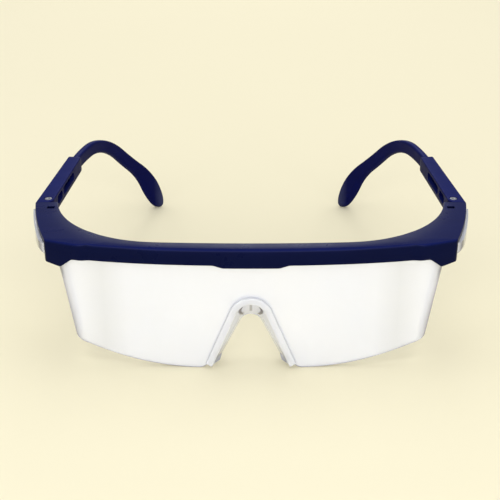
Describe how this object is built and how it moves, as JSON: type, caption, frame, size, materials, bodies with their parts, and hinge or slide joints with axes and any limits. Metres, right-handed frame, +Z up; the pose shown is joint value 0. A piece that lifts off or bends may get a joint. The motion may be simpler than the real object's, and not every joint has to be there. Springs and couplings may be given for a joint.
{
  "type": "safety glasses",
  "caption": "Clear wraparound safety glasses with a blue brow frame, clip-on nose saddle, side shields and folding temples that slide to set their length.",
  "frame": {"origin": "under the middle of the glasses' length and width, on the surface they stand on with the temples open", "axes": "+Z up, -Y the way the wearer looks, +X to the wearer's left"},
  "size_m": [0.1544, 0.1402, 0.0458],
  "materials": {
    "frame_plastic": "satin-gloss moulded nylon, dark navy blue",
    "temple_plastic": "satin moulded nylon, dark navy blue",
    "clear_lens": "polished clear polycarbonate",
    "clear_saddle": "clear flexible plastic",
    "pin_steel": "plain steel"
  },
  "bodies": {
    "front": {"brow_frame": "frame_plastic", "lens": "clear_lens", "nose_bridge": "clear_saddle", "hinge_pin_left": "pin_steel", "hinge_pin_right": "pin_steel"},
    "sleeve_left": {"temple_sleeve_left": "temple_plastic"},
    "sleeve_right": {"temple_sleeve_right": "temple_plastic"},
    "arm_left": {"temple_arm_left": "temple_plastic"},
    "arm_right": {"temple_arm_right": "temple_plastic"}
  },
  "joints": [
    {"name": "fold_left", "type": "hinge", "parent": "front", "child": "sleeve_left", "pos_m": [0.07245, -0.02789, 0.042], "axis": [0, 0, 1], "range_deg": [0, 85]},
    {"name": "fold_right", "type": "hinge", "parent": "front", "child": "sleeve_right", "pos_m": [-0.07245, -0.02789, 0.042], "axis": [0, 0, -1], "range_deg": [0, 73]},
    {"name": "length_left", "type": "slide", "parent": "sleeve_left", "child": "arm_left", "axis": [-0.108, 0.9942, 0], "range_m": [0, 0.015]},
    {"name": "length_right", "type": "slide", "parent": "sleeve_right", "child": "arm_right", "axis": [0.108, 0.9942, 0], "range_m": [0, 0.015]}
  ]
}
